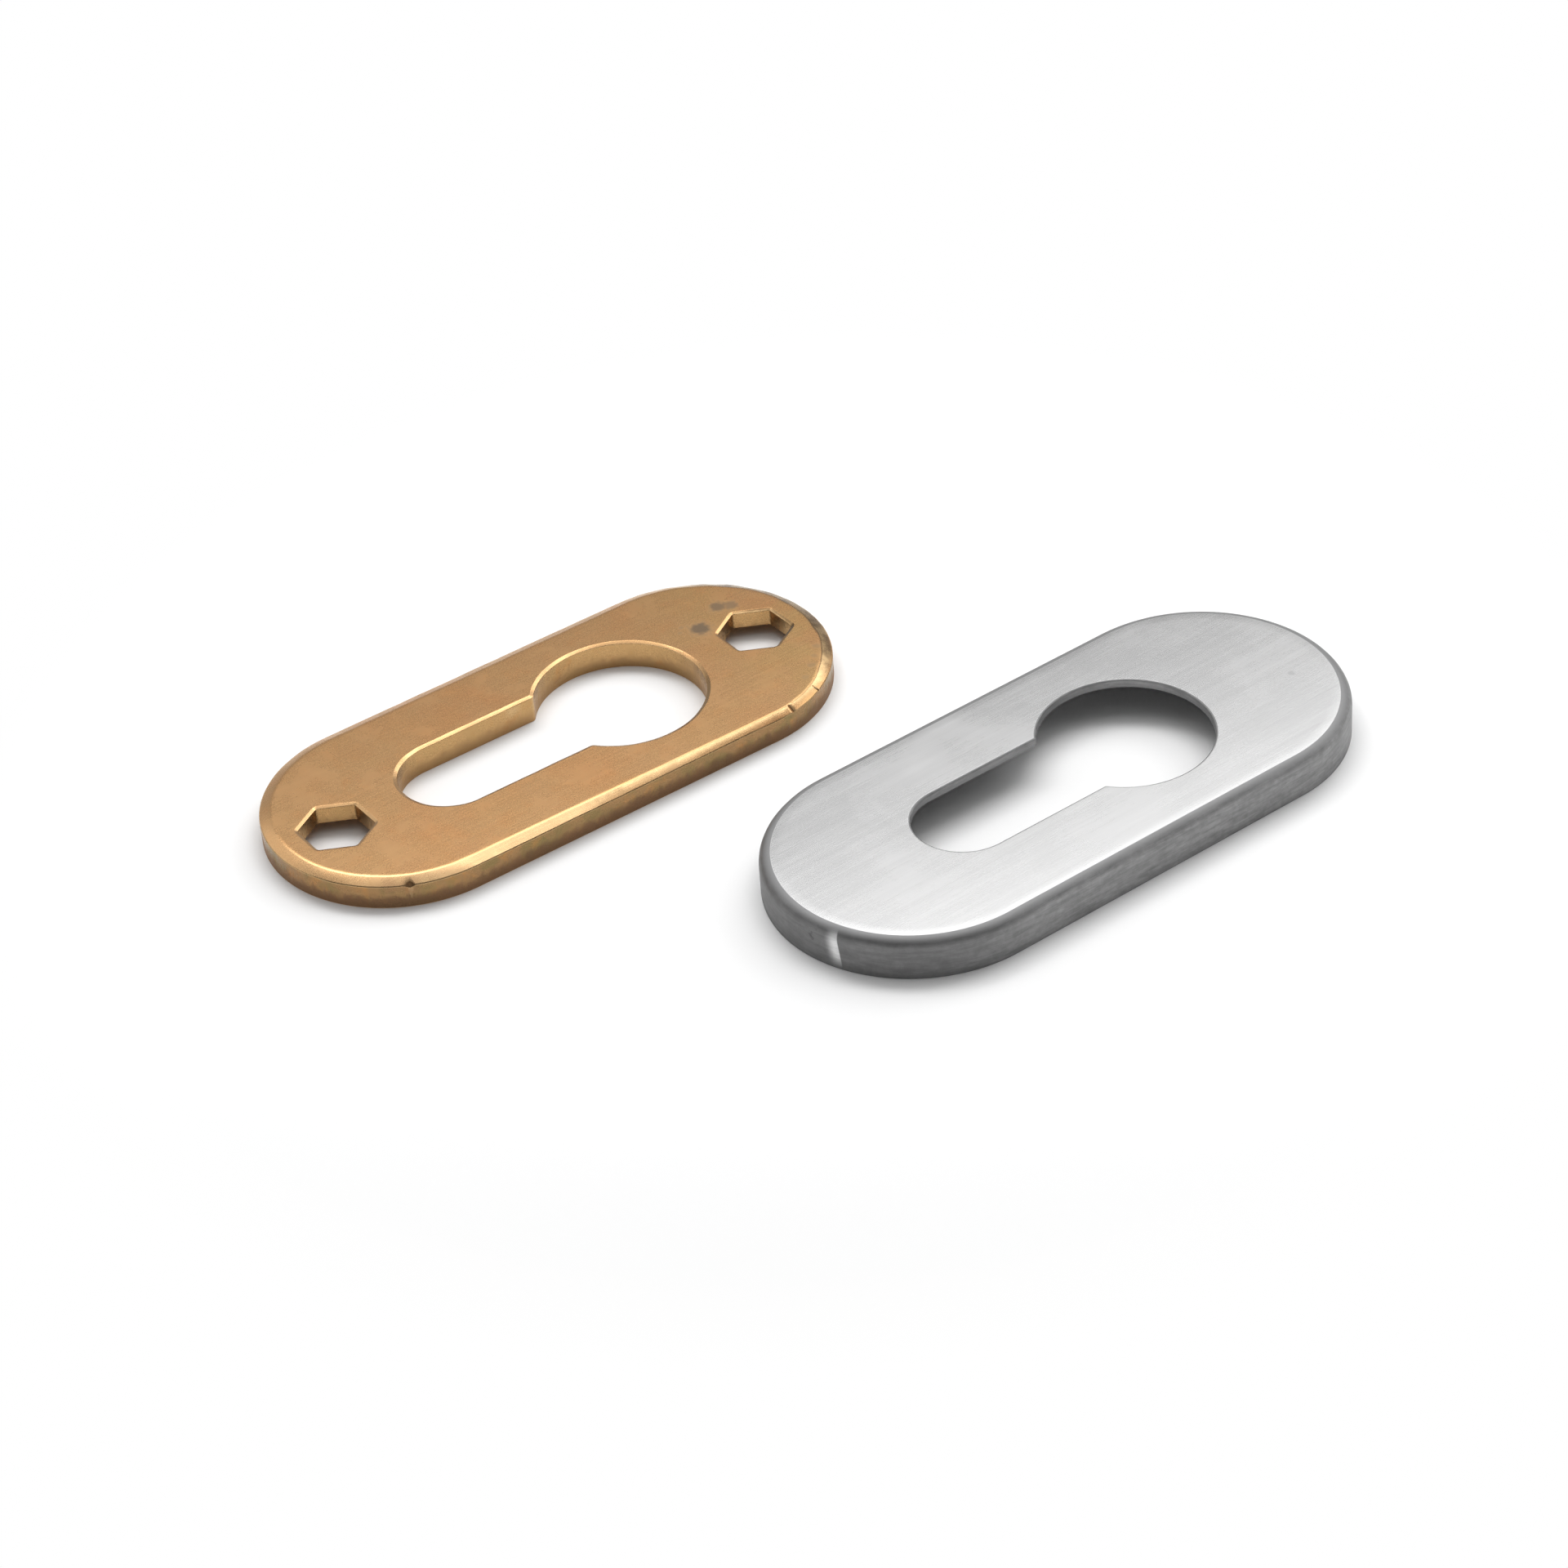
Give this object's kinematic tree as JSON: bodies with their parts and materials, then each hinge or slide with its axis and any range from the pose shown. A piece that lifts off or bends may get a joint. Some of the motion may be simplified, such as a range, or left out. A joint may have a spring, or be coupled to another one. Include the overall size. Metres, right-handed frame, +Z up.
{
  "type": "keyhole escutcheon",
  "caption": "Keyhole escutcheon with half-round ends for a profile lock cylinder: a bevelled brass fixing plate and the brushed steel cover that is pushed over it, lying side by side.",
  "frame": {"origin": "middle of the pair's base, on the surface that both pieces lie on", "axes": "+X along the cover, towards the round end of the keyholes; +Z up, away from the door"},
  "size_m": [0.096, 0.07, 0.0043],
  "materials": {
    "brass": "dull rolled brass, a little stained",
    "steel": "fine brushed along its length"
  },
  "bodies": {
    "root": {"fixing_plate": "brass", "cover": "steel"}
  },
  "joints": []
}
